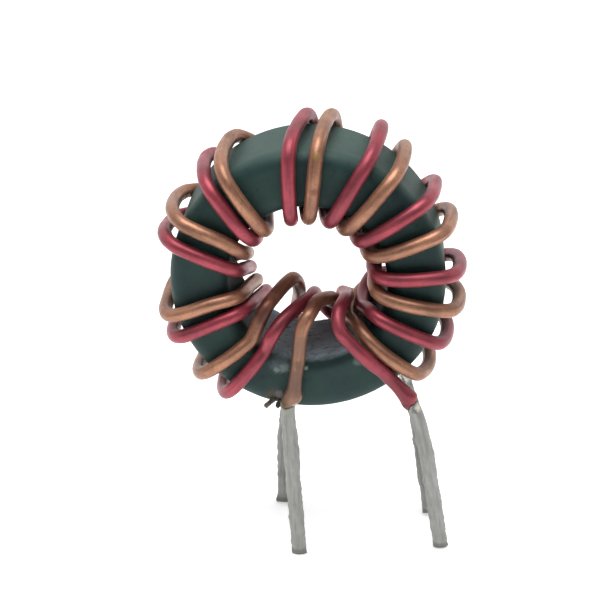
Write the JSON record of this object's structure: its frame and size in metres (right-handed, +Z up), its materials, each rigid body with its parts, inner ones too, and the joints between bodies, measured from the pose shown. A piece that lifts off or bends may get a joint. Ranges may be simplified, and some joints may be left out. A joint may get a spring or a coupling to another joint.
{
  "type": "toroidal inductor",
  "caption": "Ring core wound side by side with red and copper-coloured enamelled wires, standing on their four tinned through-hole leads.",
  "frame": {"origin": "the foot of the front left lead: where its middle line meets the plane that the four tips stand on", "axes": "+Z up, from the tips to the top of the ring; +Y along the ring's axis, from the front face to the back face; +X to the right, seen from the front"},
  "size_m": [0.0232, 0.0115, 0.0341],
  "materials": {
    "core_coating": "dark grey-green epoxy coating on a ferrite ring, satin with a soft sheen and fine scuffs",
    "red_enamel": "clear red enamel over copper wire, glossy",
    "copper_enamel": "amber enamel over copper wire, glossy",
    "tin": "dull grey solder coat, streaked and slightly lumpy"
  },
  "bodies": {
    "root": {"core": "core_coating", "red_wire": "red_enamel", "copper_wire": "copper_enamel", "tin_front_left": "tin", "tin_back_left": "tin", "tin_front_right": "tin", "tin_back_right": "tin"}
  },
  "joints": []
}
